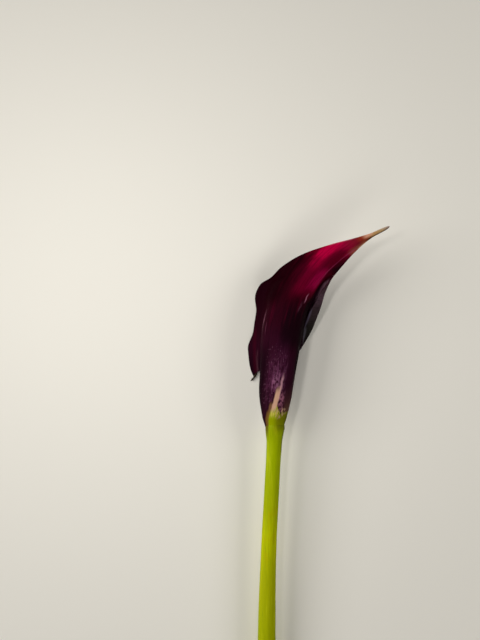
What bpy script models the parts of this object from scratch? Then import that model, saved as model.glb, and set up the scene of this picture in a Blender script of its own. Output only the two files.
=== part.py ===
# Calla lily flower: one cut flower lying on a surface, in metres with +Z up.
# It is laid out in its own frame: the top of the stem is the origin, the stem
# runs along -Y, the bloom along +Y, and +Z is the side that faces up at rest.
# An empty then tilts the whole flower a little, so that it rests on three spots.

import math
from collections import namedtuple

import bmesh
import bpy
import numpy as np
from mathutils import Vector

MM = 0.001

# Spathe: one rolled leaf, a loft of open sections set along its midrib
SPATHE_THICKNESS = 0.8 * MM
SEAT_GAP = 0.3 * MM
MIDRIB = [
    (3.2, 0.3, 3.6),
    (5.5, 13.2, 6.0),
    (7.2, 26.8, 7.2),
    (8.9, 40.5, 7.8),
    (11.0, 54.0, 7.6),
    (15.2, 66.5, 7.2),
    (22.8, 78.0, 7.4),
    (33.2, 88.0, 8.6),
    (45.2, 96.3, 10.4),
    (58.8, 104.2, 12.6),
]
MIDRIB_TURN = 42.0
TIP_TURN = 30.0
LEAN_POWER = 2.5

# One open section: its place along the midrib, then for the near half and for
# the far half the radius of the tube, the angle that it curls in, the angle
# that its margin rolls back out, the length of that roll, and how far the
# margin sags back towards the stem. Angles in degrees, lengths in millimetres.
Section = namedtuple("Section", "place near far")
Half = namedtuple("Half", "radius curl roll lip sag")
SECTIONS = [
    Section(0.00, Half(5.8, 215, 0, 4.0, 0.0), Half(4.4, 205, 0, 5.0, 0.0)),
    Section(0.06, Half(7.3, 214, 0, 4.3, 0.3), Half(5.9, 203, 0, 5.0, 0.3)),
    Section(0.12, Half(8.6, 207, 0, 5.0, 1.0), Half(7.4, 198, 0, 5.0, 0.9)),
    Section(0.17, Half(9.2, 196, 10, 6.5, 1.6), Half(8.0, 183, 0, 5.0, 1.1)),
    Section(0.21, Half(9.4, 185, 26, 8.2, 2.4), Half(8.6, 166, 16, 5.2, 1.1)),
    Section(0.245, Half(9.6, 176, 32, 9.0, 3.4), Half(9.4, 147, 55, 5.8, 1.2)),
    Section(0.275, Half(9.8, 169, 91, 15.9, 6.6), Half(10.0, 133, 105, 6.8, 1.2)),
    Section(0.31, Half(10.0, 166, 96, 17.3, 5.1), Half(10.8, 120, 170, 9.0, 1.2)),
    Section(0.36, Half(10.4, 163, 98, 17.2, 4.3), Half(11.8, 113, 262, 16.0, 1.5)),
    Section(0.44, Half(10.7, 155, 78, 13.4, 4.0), Half(12.2, 102, 305, 20.5, 2.5)),
    Section(0.51, Half(10.8, 149, 74, 13.3, 3.4), Half(11.9, 91, 305, 19.0, 3.0)),
    Section(0.565, Half(12.0, 137, 72, 13.0, 2.2), Half(10.9, 79, 280, 14.8, 2.4)),
    Section(0.60, Half(12.1, 126, 66, 11.4, 1.3), Half(9.9, 71, 265, 11.4, 2.0)),
    Section(0.65, Half(10.9, 107, 48, 7.4, 0.7), Half(8.4, 60, 225, 7.8, 1.5)),
    Section(0.70, Half(10.4, 97, 38, 6.0, 0.0), Half(6.9, 51, 180, 5.2, 1.0)),
    Section(0.80, Half(7.0, 71, 15, 4.3, 0.0), Half(4.4, 41, 90, 2.6, 0.4)),
    Section(0.90, Half(3.0, 45, 8, 1.5, 0.0), Half(2.3, 32, 30, 1.0, 0.0)),
    Section(0.94, Half(2.0, 36, 0, 0.8, 0.0), Half(1.9, 28, 0, 0.6, 0.0)),
    Section(1.00, Half(2.0, 20, 0, 0.4, 0.0), Half(2.0, 20, 0, 0.4, 0.0)),
]
LIP_PAST_CURL = 0.6
FULL_FLARE = 60.0
SPATHE_ROWS = 36
NEAR_STEPS = (13, 6)
FAR_STEPS = (9, 9)
WALK_STEPS = 6

# Stem: centre line and radius, from the cut end to the seat inside the spathe
STEM_ROUTE = [
    (-4.5, -190.0, 0.0, 5.0),
    (-4.8, -172.0, 0.5, 4.95),
    (-5.0, -152.0, 1.0, 4.85),
    (-5.0, -132.0, 1.3, 4.75),
    (-4.9, -113.0, 1.4, 4.65),
    (-4.65, -95.0, 1.3, 4.45),
    (-4.2, -77.0, 1.1, 4.25),
    (-3.5, -58.0, 0.8, 4.05),
    (-2.5, -39.0, 0.5, 3.9),
    (-1.6, -22.0, 0.2, 3.9),
    (-0.9, -9.0, 0.1, 4.1),
    (-0.7, -4.0, 0.1, 4.75),
    (-0.5, -1.4, 0.1, 5.05),
    (-0.5, 0.0, 0.1, 5.1),
]
SEAT_LENGTH = 6.0
SEAT_ROUTE = [
    (-0.5, 0.05, 0.1, 2.4),
    (-0.5, 0.8, 0.1, 2.4),
    (0.1, 3.0, 0.1, 2.8),
    (0.1, SEAT_LENGTH - 0.6, 0.1, 2.9),
    (0.1, SEAT_LENGTH, 0.1, 2.3),
]
STEM_ROUNDNESS = 6
CUT_SLANT = 18.0
CUT_RING_REACH = 1.0 * MM
SHARP_ANGLE = 50.0

# Spadix: a tapered finger, its florets raised in crossing spirals
SPADIX_LENGTH = 38.0 * MM
SPADIX_RADIUS = 3.2 * MM
SPADIX_TIP_SHARE = 0.62
SPADIX_AXIS_END = (1.6, 44.0, -0.4)
FOOT_SHARE = 0.85
FOOT_REACH = 0.05
CROWN_START = 0.93
FLORETS_END = 0.97
FLORETS_ROUND = 8
FLORETS_ALONG = 15
FLORET_RELIEF = 0.32 * MM
SPADIX_SIDES = 32
SPADIX_RINGS = 60

# Rest: how the flower leans when it lies, and where its own origin then is
REST_ROLL = -0.813
REST_PITCH = 2.488
REST_PLACE = (-22.20, 43.37, 13.17)
SURFACE_SIZE = 0.5
SURFACE_DEPTH = 0.02

# Colours of the three pieces
PETAL_MAROON = (0.09, 0.004, 0.022)
STEM_GREEN = (0.36, 0.47, 0.02)
SPADIX_GOLD = (0.72, 0.36, 0.03)


def clear_scene():
    """Remove every object, so that the file starts empty."""
    for item in list(bpy.data.objects):
        bpy.data.objects.remove(item, do_unlink=True)


def new_collection(name):
    """Add a collection to the scene."""
    collection = bpy.data.collections.new(name)
    bpy.context.scene.collection.children.link(collection)
    return collection


def new_material(name, colour, roughness, sheen=0.0):
    """A Principled material with one colour."""
    material = bpy.data.materials.new(name)
    material.use_nodes = True
    shader = material.node_tree.nodes["Principled BSDF"]
    shader.inputs["Base Color"].default_value = (*colour, 1.0)
    shader.inputs["Roughness"].default_value = roughness
    shader.inputs["Metallic"].default_value = 0.0
    shader.inputs["Sheen Weight"].default_value = sheen
    material.diffuse_color = (*colour, 1.0)
    return material


def new_object(name, mesh, material, parent, collection):
    """Wrap a mesh as a named object in the flower's own frame."""
    mesh.materials.clear()
    mesh.materials.append(material)
    item = bpy.data.objects.new(name, mesh)
    item.parent = parent
    collection.objects.link(item)
    return item


def ease(share):
    """Rise smoothly from 0 to 1."""
    share = np.clip(share, 0.0, 1.0)
    return share * share * (3.0 - 2.0 * share)


def between(places, values, at):
    """A smooth curve through the values that never overshoots between two places."""
    places = np.asarray(places, float)
    values = np.asarray(values, float)
    step = np.diff(places)
    rise = np.diff(values) / step
    slope = np.zeros_like(values)
    product = rise[:-1] * rise[1:]
    total = rise[:-1] + rise[1:]
    same_way = product > 0
    slope[1:-1][same_way] = 2.0 * product[same_way] / total[same_way]
    slope[0] = rise[0]
    slope[-1] = rise[-1]
    left = np.clip(np.searchsorted(places, at, side="right") - 1, 0, len(step) - 1)
    share = (at - places[left]) / step[left]
    from_left = (1 + 2 * share) * (1 - share) ** 2 * values[left]
    from_right = share**2 * (3 - 2 * share) * values[left + 1]
    bend_left = share * (1 - share) ** 2 * step[left] * slope[left]
    bend_right = share**2 * (share - 1) * step[left] * slope[left + 1]
    return from_left + from_right + bend_left + bend_right


def spline_slopes(points):
    """Slopes of the natural cubic spline through evenly numbered points."""
    count = len(points)
    matrix = 4.0 * np.eye(count) + np.eye(count, k=1) + np.eye(count, k=-1)
    matrix[0, 0] = 2.0
    matrix[-1, -1] = 2.0
    pull = np.zeros_like(points)
    pull[1:-1] = 3.0 * (points[2:] - points[:-2])
    pull[0] = 3.0 * (points[1] - points[0])
    pull[-1] = 3.0 * (points[-1] - points[-2])
    return np.linalg.solve(matrix, pull)


def along_spline(points, at):
    """Points and unit directions on the spline, for shares from 0 to 1 of its length."""
    points = np.asarray(points, float)
    slopes = spline_slopes(points)
    knot = np.asarray(at, float) * (len(points) - 1)
    left = np.clip(knot.astype(int), 0, len(points) - 2)
    t = (knot - left)[:, None]
    p0, p1 = points[left], points[left + 1]
    s0, s1 = slopes[left], slopes[left + 1]
    bend = 3 * (p1 - p0) - 2 * s0 - s1
    twist = 2 * (p0 - p1) + s0 + s1
    place = p0 + s0 * t + bend * t**2 + twist * t**3
    ahead = s0 + 2 * bend * t + 3 * twist * t**2
    return place, ahead / np.linalg.norm(ahead, axis=1, keepdims=True)


def half_section(half, steps):
    """Walk from the midrib to the margin in the section's own plane.

    Steps are counted up to the lip and across it. Returns how far each point
    lies to the side, outwards and back, in mm.
    """
    curl = math.radians(half.curl)
    roll = math.radians(half.roll)
    straight = LIP_PAST_CURL * half.lip * min(1.0, half.roll / FULL_FLARE)
    length = half.radius * curl + straight
    lip_start = length - half.lip
    inner = np.linspace(0.0, lip_start, steps[0] * WALK_STEPS + 1)
    outer = np.linspace(lip_start, length, steps[1] * WALK_STEPS + 1)
    walked = np.concatenate([inner, outer[1:]])
    turned = np.minimum(walked / half.radius, curl)
    turned = turned - roll * ease((walked - lip_start) / half.lip)
    middle = 0.5 * (turned[1:] + turned[:-1])
    stride = np.diff(walked)
    side = np.concatenate([[0.0], np.cumsum(np.cos(middle) * stride)])
    out = np.concatenate([[0.0], -np.cumsum(np.sin(middle) * stride)])
    back = half.sag * (walked / length) ** 2
    return side[::WALK_STEPS], out[::WALK_STEPS], back[::WALK_STEPS]


def section_at(place, side):
    """The half section on one side of the midrib, read between the stations."""
    places = [section.place for section in SECTIONS]
    halves = [getattr(section, side) for section in SECTIONS]
    columns = [[half[i] for half in halves] for i in range(len(Half._fields))]
    return Half(*[float(between(places, column, place)) for column in columns])


def spathe_points():
    """Rows of points on the outer skin, each from the near margin to the far one."""
    shares = np.linspace(0.0, 1.0, SPATHE_ROWS + 1)
    ribs, ahead = along_spline(MIDRIB, shares)
    rows = []
    for share, rib, direction in zip(shares, ribs, ahead):
        lean = share**LEAN_POWER
        axis = (1.0 - lean) * np.array([0.0, 1.0, 0.0]) + lean * direction
        axis /= np.linalg.norm(axis)
        up = np.array([0.0, 0.0, 1.0]) - axis[2] * axis
        up /= np.linalg.norm(up)
        right = np.cross(axis, up)
        turn = math.radians(MIDRIB_TURN + (TIP_TURN - MIDRIB_TURN) * ease(2 * share - 1))
        outward = math.cos(turn) * up + math.sin(turn) * right
        far_way = math.cos(turn) * right - math.sin(turn) * up
        halves = []
        for name, way, steps in (("near", -far_way, NEAR_STEPS), ("far", far_way, FAR_STEPS)):
            side, out, back = half_section(section_at(share, name), steps)
            points = rib + side[:, None] * way + out[:, None] * outward
            halves.append(points - back[:, None] * axis)
        rows.append(np.concatenate([halves[0][::-1], halves[1][1:]]) * MM)
    return np.array(rows)


def make_spathe(material, parent, collection):
    """Loft the sections as one open grid and give it its thickness inwards."""
    rows = spathe_points()
    across = sum(NEAR_STEPS) + sum(FAR_STEPS)
    grid = bmesh.new()
    bmesh.ops.create_grid(grid, x_segments=across, y_segments=SPATHE_ROWS, size=0.5)
    for vertex in grid.verts:
        row = round((vertex.co.y + 0.5) * SPATHE_ROWS)
        column = round((vertex.co.x + 0.5) * across)
        vertex.co = Vector(rows[row, column])
    bmesh.ops.triangulate(grid, faces=grid.faces, quad_method="FIXED")
    mesh = bpy.data.meshes.new("spathe")
    grid.to_mesh(mesh)
    grid.free()
    mesh.shade_smooth()
    spathe = new_object("spathe", mesh, material, parent, collection)
    solidify = spathe.modifiers.new("thickness", "SOLIDIFY")
    solidify.thickness = SPATHE_THICKNESS
    solidify.offset = -1.0
    return spathe


def make_stem(material, parent, collection):
    """A tapered tube along the route, which ends in the seat and a slanted cut."""
    route = STEM_ROUTE + SEAT_ROUTE
    curve = bpy.data.curves.new("stem_route", "CURVE")
    curve.dimensions = "3D"
    curve.bevel_depth = 1.0
    curve.bevel_resolution = STEM_ROUNDNESS
    curve.use_fill_caps = True
    spline = curve.splines.new("POLY")
    spline.points.add(len(route) - 1)
    for point, (x, y, z, radius) in zip(spline.points, route):
        point.co = (x * MM, y * MM, z * MM, 1.0)
        point.radius = radius * MM
    guide = bpy.data.objects.new("stem_guide", curve)
    collection.objects.link(guide)
    bpy.context.view_layer.update()
    shape = guide.evaluated_get(bpy.context.evaluated_depsgraph_get())
    mesh = bpy.data.meshes.new_from_object(shape)
    bpy.data.objects.remove(guide, do_unlink=True)
    bpy.data.curves.remove(curve)
    tube = bmesh.new()
    tube.from_mesh(mesh)
    bmesh.ops.remove_doubles(tube, verts=tube.verts, dist=0.01 * MM)
    slant_cut_end(tube)
    tube.to_mesh(mesh)
    tube.free()
    mesh.shade_smooth()
    mesh.set_sharp_from_angle(angle=math.radians(SHARP_ANGLE))
    mesh.name = "stem"
    return new_object("stem", mesh, material, parent, collection)


def slant_cut_end(tube):
    """Lean the cut face, as a knife leaves it."""
    end_y, end_z = STEM_ROUTE[0][1] * MM, STEM_ROUTE[0][2] * MM
    slope = math.tan(math.radians(CUT_SLANT))
    for vertex in tube.verts:
        if vertex.co.y < end_y + CUT_RING_REACH:
            vertex.co.y += slope * (vertex.co.z - end_z)


def make_spadix(material, parent, collection):
    """A finger with a flat foot on the seat, its florets a relief on crossing spirals."""
    foot = Vector((0.1 * MM, SEAT_LENGTH * MM + SEAT_GAP, 0.1 * MM))
    axis = (Vector(SPADIX_AXIS_END) * MM - foot).normalized()
    side = axis.orthogonal().normalized()
    over = axis.cross(side)
    ball = bmesh.new()
    bmesh.ops.create_uvsphere(ball, u_segments=SPADIX_SIDES, v_segments=SPADIX_RINGS, radius=1.0)
    for vertex in ball.verts:
        latitude = math.asin(max(-1.0, min(1.0, vertex.co.z)))
        along = latitude / math.pi + 0.5
        around = math.atan2(vertex.co.y, vertex.co.x)
        radius, height = spadix_profile(along, around)
        flat = math.hypot(vertex.co.x, vertex.co.y)
        radius *= 0.0 if flat < 1e-6 else 1.0
        vertex.co = foot + axis * height + (side * math.cos(around) + over * math.sin(around)) * radius
    mesh = bpy.data.meshes.new("spadix")
    bmesh.ops.triangulate(ball, faces=ball.faces)
    ball.to_mesh(mesh)
    ball.free()
    mesh.shade_smooth()
    return new_object("spadix", mesh, material, parent, collection)


def spadix_profile(along, around):
    """Radius and height of the spadix, for a share of its rings and an angle round it."""
    first = 1.0 / SPADIX_RINGS
    share = max(0.0, (along - first) / (1.0 - first))
    rise = math.sin(0.5 * math.pi * share**0.9)
    taper = 1.0 - (1.0 - SPADIX_TIP_SHARE) * rise**2
    past_crown = max(0.0, (rise - CROWN_START) / (1.0 - CROWN_START))
    crown = math.sqrt(max(0.0, 1.0 - past_crown**2))
    near_foot = min(1.0, rise / FOOT_REACH)
    foot = FOOT_SHARE + (1.0 - FOOT_SHARE) * near_foot
    climb = math.pi * FLORETS_ALONG * rise
    spiral = math.cos(FLORETS_ROUND * around + climb)
    counter = math.cos(FLORETS_ROUND * around - climb)
    fade = near_foot * min(1.0, max(0.0, (FLORETS_END - rise) / FOOT_REACH))
    radius = SPADIX_RADIUS * taper * crown * foot + FLORET_RELIEF * spiral * counter * fade
    return radius, SPADIX_LENGTH * rise


def make_surface_cutter(collection):
    """The surface that the flower lies on, as a cutter for its small flat spots."""
    bpy.ops.mesh.primitive_cube_add(size=1.0, location=(0.0, 0.0, -SURFACE_DEPTH / 2))
    cutter = bpy.context.object
    cutter.name = "surface_cutter"
    cutter.scale = (SURFACE_SIZE, SURFACE_SIZE, SURFACE_DEPTH)
    bpy.ops.object.transform_apply(location=False, rotation=False, scale=True)
    for old in list(cutter.users_collection):
        old.objects.unlink(cutter)
    collection.objects.link(cutter)
    cutter.hide_render = True
    cutter.display_type = "WIRE"
    return cutter


def flatten_rest_spots(item, cutter):
    """Take off what dips under the surface, which leaves the flat spots that it rests on."""
    boolean = item.modifiers.new("rest_spots", "BOOLEAN")
    boolean.operation = "DIFFERENCE"
    boolean.solver = "EXACT"
    boolean.object = cutter


def main():
    clear_scene()
    parts = new_collection("calla_lily_flower")
    cutters = new_collection("cutters")
    frame = bpy.data.objects.new("flower_frame", None)
    frame.rotation_euler = (math.radians(REST_PITCH), math.radians(REST_ROLL), 0.0)
    frame.location = Vector(REST_PLACE) * MM
    parts.objects.link(frame)
    cutter = make_surface_cutter(cutters)
    petal = new_material("petal_maroon", PETAL_MAROON, 0.42, sheen=0.2)
    green = new_material("stem_green", STEM_GREEN, 0.4)
    gold = new_material("spadix_gold", SPADIX_GOLD, 0.7)
    spathe = make_spathe(petal, frame, parts)
    stem = make_stem(green, frame, parts)
    make_spadix(gold, frame, parts)
    flatten_rest_spots(spathe, cutter)
    flatten_rest_spots(stem, cutter)


main()
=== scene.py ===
# %% [markdown]
# # A calla lily, cut and laid down
#
# A calla lily is one leaf on one stalk. The leaf, the spathe, rolls into a
# funnel round a finger of tiny flowers and draws out into a long tip. So the
# dressed model is one rolled sheet, one stem and one spadix, each in the place
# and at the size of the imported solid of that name.

import math
from collections import namedtuple

import bpy
import numpy as np
from mathutils import Euler, Matrix, Vector


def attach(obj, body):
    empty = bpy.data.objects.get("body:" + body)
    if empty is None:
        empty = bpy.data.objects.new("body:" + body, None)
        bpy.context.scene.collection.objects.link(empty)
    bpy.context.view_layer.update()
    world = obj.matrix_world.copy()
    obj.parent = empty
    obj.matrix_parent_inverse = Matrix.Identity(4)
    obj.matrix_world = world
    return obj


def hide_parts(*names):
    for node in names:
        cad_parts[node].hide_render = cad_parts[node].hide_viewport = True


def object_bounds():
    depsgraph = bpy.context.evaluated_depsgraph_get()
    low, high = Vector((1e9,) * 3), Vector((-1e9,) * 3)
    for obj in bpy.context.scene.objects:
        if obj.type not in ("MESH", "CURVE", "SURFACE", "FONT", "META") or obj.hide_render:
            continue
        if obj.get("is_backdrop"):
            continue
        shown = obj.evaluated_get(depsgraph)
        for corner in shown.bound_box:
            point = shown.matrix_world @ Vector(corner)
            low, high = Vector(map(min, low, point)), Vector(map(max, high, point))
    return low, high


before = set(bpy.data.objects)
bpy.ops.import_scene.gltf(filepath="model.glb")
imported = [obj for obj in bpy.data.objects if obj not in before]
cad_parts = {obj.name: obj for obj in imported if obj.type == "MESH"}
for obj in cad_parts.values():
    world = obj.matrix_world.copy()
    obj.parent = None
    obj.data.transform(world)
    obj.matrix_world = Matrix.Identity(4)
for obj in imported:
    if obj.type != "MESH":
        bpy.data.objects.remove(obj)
solid_low, solid_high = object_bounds()
print("packed nodes:", sorted(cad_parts), "box", solid_low[:], solid_high[:])

# %% [markdown]
# ## The flower's own frame
#
# A leaning flower is awkward to draw, so it is drawn straight: the top of the
# stem is the origin, the stem runs down -Y, the bloom up +Y, and +Z faces the
# viewer. One turn and one shift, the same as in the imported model, then lay it
# on the table on its three rest points.

# %% Lay the flower down
MM = 0.001
REST_PITCH = math.radians(2.488)
REST_ROLL = math.radians(-0.813)
LEAN = Euler((REST_PITCH, REST_ROLL, 0.0)).to_matrix()
TABLE_PLACE = Vector((-22.20, 43.37, 13.17))
lie = np.array(LEAN)


def laid(points):
    """World points in metres, from points of the flower's frame in millimetres."""
    return (np.asarray(points, float) @ lie.T + np.array(TABLE_PLACE)) * MM


print("top of the stem lies at", laid([(0, 0, 0)])[0].round(4))

# %% [markdown]
# ## Smooth curves through a few numbers
#
# A petal is described by a few stations along its length, and between them the
# numbers must flow without kinks. One helper does that for single numbers and
# never swings past a station. The other bends through points in space like a
# batten, as a natural spline.

# %% Two kinds of smooth curve


def ease(share):
    """Rise smoothly from 0 to 1."""
    share = np.clip(share, 0.0, 1.0)
    return share * share * (3.0 - 2.0 * share)


def between(places, values, at):
    """A smooth curve through the values that never overshoots."""
    places = np.asarray(places, float)
    values = np.asarray(values, float)
    step = np.diff(places)
    rise = np.diff(values) / step
    slope = np.zeros_like(values)
    product = rise[:-1] * rise[1:]
    total = rise[:-1] + rise[1:]
    same_way = product > 0
    slope[1:-1][same_way] = 2.0 * product[same_way] / total[same_way]
    slope[0], slope[-1] = rise[0], rise[-1]
    left = np.clip(np.searchsorted(places, at, side="right") - 1, 0, len(step) - 1)
    share = (at - places[left]) / step[left]
    ends = (1 + 2 * share) * (1 - share) ** 2 * values[left]
    ends = ends + share**2 * (3 - 2 * share) * values[left + 1]
    bends = share * (1 - share) ** 2 * slope[left] + share**2 * (share - 1) * slope[left + 1]
    return ends + bends * step[left]


def batten(points, at):
    """Places and unit directions on a natural spline, for shares of its length."""
    points = np.asarray(points, float)
    count = len(points)
    matrix = 4.0 * np.eye(count) + np.eye(count, k=1) + np.eye(count, k=-1)
    matrix[0, 0] = matrix[-1, -1] = 2.0
    pull = np.zeros_like(points)
    pull[1:-1] = 3.0 * (points[2:] - points[:-2])
    pull[0] = 3.0 * (points[1] - points[0])
    pull[-1] = 3.0 * (points[-1] - points[-2])
    slopes = np.linalg.solve(matrix, pull)
    knot = np.asarray(at, float) * (count - 1)
    left = np.clip(knot.astype(int), 0, count - 2)
    t = (knot - left)[:, None]
    p0, p1, s0, s1 = points[left], points[left + 1], slopes[left], slopes[left + 1]
    bend = 3 * (p1 - p0) - 2 * s0 - s1
    twist = 2 * (p0 - p1) + s0 + s1
    place = p0 + s0 * t + bend * t**2 + twist * t**3
    ahead = s0 + 2 * bend * t + 3 * twist * t**2
    return place, ahead / np.linalg.norm(ahead, axis=1, keepdims=True)


print("halfway between 0 and 10:", float(between([0, 1], [0, 10], 0.5)))

# %% [markdown]
# ## The spathe as stations along its midrib
#
# To each side of its midrib the sheet curls inwards, flares or rolls back out
# near its margin, and sags a little towards the foot. One line of numbers says
# that for one place along the midrib: for each side the radius in millimetres,
# the curl and the roll in degrees, and the width of the lip and the sag in
# millimetres. The near side ends in the flared margin on the left, the far
# side in the rolled one on the right, which shows the dark lining.

# %% Midrib and stations of the spathe
MIDRIB = [
    (3.2, 0.3, 3.6), (5.5, 13.2, 6), (7.2, 26.8, 7.2), (8.9, 40.5, 7.8), (11, 54, 7.6),
    (15.2, 66.5, 7.2), (22.8, 78, 7.4), (33.2, 88, 8.6), (45.2, 96.3, 10.4), (58.8, 104.2, 12.6),
]
MIDRIB_TURN = 42.0
TIP_TURN = 30.0
LEAN_POWER = 2.5
Side = namedtuple("Side", "radius curl roll lip sag")
STATION_ROWS = [
    (0.00, (5.8, 215, 0, 4, 0), (4.4, 205, 0, 5, 0)),
    (0.06, (7.3, 214, 0, 4.3, 0.3), (5.9, 203, 0, 5, 0.3)),
    (0.12, (8.6, 207, 0, 5, 1), (7.4, 198, 0, 5, 0.9)),
    (0.17, (9.2, 196, 10, 6.5, 1.6), (8, 183, 0, 5, 1.1)),
    (0.21, (9.4, 185, 26, 8.2, 2.4), (8.6, 166, 16, 5.2, 1.1)),
    (0.245, (9.6, 176, 32, 9, 3.4), (9.4, 147, 55, 5.8, 1.2)),
    (0.275, (9.8, 169, 91, 15.9, 6.6), (10, 133, 105, 6.8, 1.2)),
    (0.31, (10, 166, 96, 17.3, 5.1), (10.8, 120, 170, 9, 1.2)),
    (0.36, (10.4, 163, 98, 17.2, 4.3), (11.8, 113, 262, 16, 1.5)),
    (0.44, (10.7, 155, 78, 13.4, 4), (12.2, 102, 305, 20.5, 2.5)),
    (0.51, (10.8, 149, 74, 13.3, 3.4), (11.9, 91, 305, 19, 3)),
    (0.565, (12, 137, 72, 13, 2.2), (10.9, 79, 280, 14.8, 2.4)),
    (0.60, (12.1, 126, 66, 11.4, 1.3), (9.9, 71, 265, 11.4, 2)),
    (0.65, (10.9, 107, 48, 7.4, 0.7), (8.4, 60, 225, 7.8, 1.5)),
    (0.70, (10.4, 97, 38, 6, 0), (6.9, 51, 180, 5.2, 1)),
    (0.80, (7, 71, 15, 4.3, 0), (4.4, 41, 90, 2.6, 0.4)),
    (0.90, (3, 45, 8, 1.5, 0), (2.3, 38, 30, 1, 0)),
    (0.94, (2, 36, 0, 0.8, 0), (1.9, 42, 0, 0.6, 0)),
    (1.00, (2, 20, 0, 0.4, 0), (2, 26, 0, 0.4, 0)),
]
PLACES, NEAR, FAR = (np.array(column, float) for column in zip(*STATION_ROWS))
LIP_PAST_CURL = 0.6
FULL_FLARE = 60.0
print(len(PLACES), "stations, widest radius", NEAR[:, 0].max(), "mm")

# %% [markdown]
# ## Walk from the midrib to a margin
#
# A sheet keeps its width when it bends, so a section is walked, step after
# step, turning a little at each. The turn first follows the curl, and over the
# last stretch, the lip, it is eased back out by the roll. Far more rows and
# steps are taken than in the solid, because the light runs along every curl.

# %% Walk one side of one station
ROWS = 240
NEAR_STEPS = (44, 30)
FAR_STEPS = (34, 46)
FINER = 2


def walk(side, steps):
    """Sideways, outward and backward distances, and the walk so far, in mm."""
    curl = math.radians(side.curl)
    roll = math.radians(side.roll)
    straight = LIP_PAST_CURL * side.lip * min(1.0, side.roll / FULL_FLARE)
    length = side.radius * curl + straight
    lip_start = length - side.lip
    inner = np.linspace(0.0, lip_start, steps[0] * FINER + 1)
    outer = np.linspace(lip_start, length, steps[1] * FINER + 1)
    walked = np.concatenate([inner, outer[1:]])
    turned = np.minimum(walked / side.radius, curl)
    turned = turned - roll * ease((walked - lip_start) / side.lip)
    middle = 0.5 * (turned[1:] + turned[:-1])
    stride = np.diff(walked)
    across = np.concatenate([[0.0], np.cumsum(np.cos(middle) * stride)])
    out = np.concatenate([[0.0], -np.cumsum(np.sin(middle) * stride)])
    back = side.sag * (walked / length) ** 2
    return [values[::FINER] for values in (across, out, back, walked)]


def side_at(place, rows):
    """One side of the spathe at any place, read between the stations."""
    return Side(*[float(between(PLACES, column, place)) for column in rows.T])


print("near side is", round(walk(side_at(0.5, NEAR), NEAR_STEPS)[3][-1], 1), "mm wide")

# %% [markdown]
# ## The outer skin
#
# The stations stand along the midrib like ribs on a keel, square to the tube
# near the foot and leaning with the midrib towards the tip. They give a grid
# of points, a row for each place and a column for each step across, and the
# walk from the midrib to each point, which the finish needs later.

# %% Loft the outer skin
SPATHE_LENGTH = 119.0

places = np.linspace(0.0, 1.0, ROWS)
ribs, ahead = batten(MIDRIB, places)
skin, spans = [], []
for place, rib, direction in zip(places, ribs, ahead):
    lean = place**LEAN_POWER
    axis = (1.0 - lean) * np.array([0.0, 1.0, 0.0]) + lean * direction
    axis /= np.linalg.norm(axis)
    up = np.array([0.0, 0.0, 1.0]) - axis[2] * axis
    up /= np.linalg.norm(up)
    right = np.cross(axis, up)
    turn = math.radians(MIDRIB_TURN + (TIP_TURN - MIDRIB_TURN) * ease(2 * place - 1))
    outward = math.cos(turn) * up + math.sin(turn) * right
    far_way = math.cos(turn) * right - math.sin(turn) * up
    row, span = [], []
    for rows, way, steps in ((NEAR, -far_way, NEAR_STEPS), (FAR, far_way, FAR_STEPS)):
        across, out, back, walked = walk(side_at(place, rows), steps)
        points = rib + across[:, None] * way + out[:, None] * outward
        row.append(points - back[:, None] * axis)
        span.append(walked)
    skin.append(np.concatenate([row[0][::-1], row[1][1:]]))
    spans.append(np.concatenate([-span[0][::-1], span[1][1:]]))
skin, spans = np.array(skin), np.array(spans)
COLUMNS = skin.shape[1]
print("outer skin:", skin.shape[0], "rows by", COLUMNS, "columns")

# %% [markdown]
# ## Foot and tip
#
# A plant has no seam between spathe and stem, and a loft that stops at the
# stem would show a ring. So the first millimetres of the skin are drawn down
# and pinched until they sink into the stem. At the other end the last rows
# close to a blunt point, like the dried tip of a real spathe.

# %% Sink the foot and close the tip
FOOT_REACH = 3.6
FOOT_SINK = 2.0
FOOT_PINCH = 0.165
STEM_AXIS = np.array([-0.4, 0.1])
TIP_CLOSES = 0.975
TIP_SHRINK = 0.96
TIP_DROPS = 0.9
TIP_DROP_MM = 0.5

foot = (1.0 - ease(places * SPATHE_LENGTH / FOOT_REACH))[:, None]
skin[:, :, 1] -= FOOT_SINK * foot
pinch = (1.0 - FOOT_PINCH * foot)[..., None]
skin[:, :, [0, 2]] = STEM_AXIS + (skin[:, :, [0, 2]] - STEM_AXIS) * pinch
closing = np.clip((places - TIP_CLOSES) / (1.0 - TIP_CLOSES), 0.0, 1.0)
midrib_line = skin[:, sum(NEAR_STEPS), :][:, None, :]
shrink = np.sqrt(1.0 - TIP_SHRINK * closing**2)[:, None, None]
skin = midrib_line + (skin - midrib_line) * shrink
skin[:, :, 1] -= TIP_DROP_MM * ease((places - TIP_DROPS) / (1.0 - TIP_DROPS))[:, None]
print("the foot starts at", skin[0, :, 1].mean().round(2), "mm")

# %% [markdown]
# ## Small tugs at the margins
#
# Stations give an even margin, and a real one unrolled unevenly. A tug moves a
# short stretch of the margin by up to three millimetres and fades out over the
# leaf beside it, so the sheet stays whole. The lower end of the near lobe is
# drawn to a corner, the edge beside it is cut back towards the tube, and the
# near margin below the tip gets its small wave.

# %% Tug at the near margin
LOBE_CORNER = 0.27


def tug(place, spread, reach, by):
    """Move a stretch of the near margin, less and less towards the midrib."""
    here = np.exp(-(((places - place) / spread) ** 2))[:, None]
    share = here * (1.0 - ease((spans - spans[:, :1]) / reach))
    return skin + share[..., None] * np.array(by)


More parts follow.
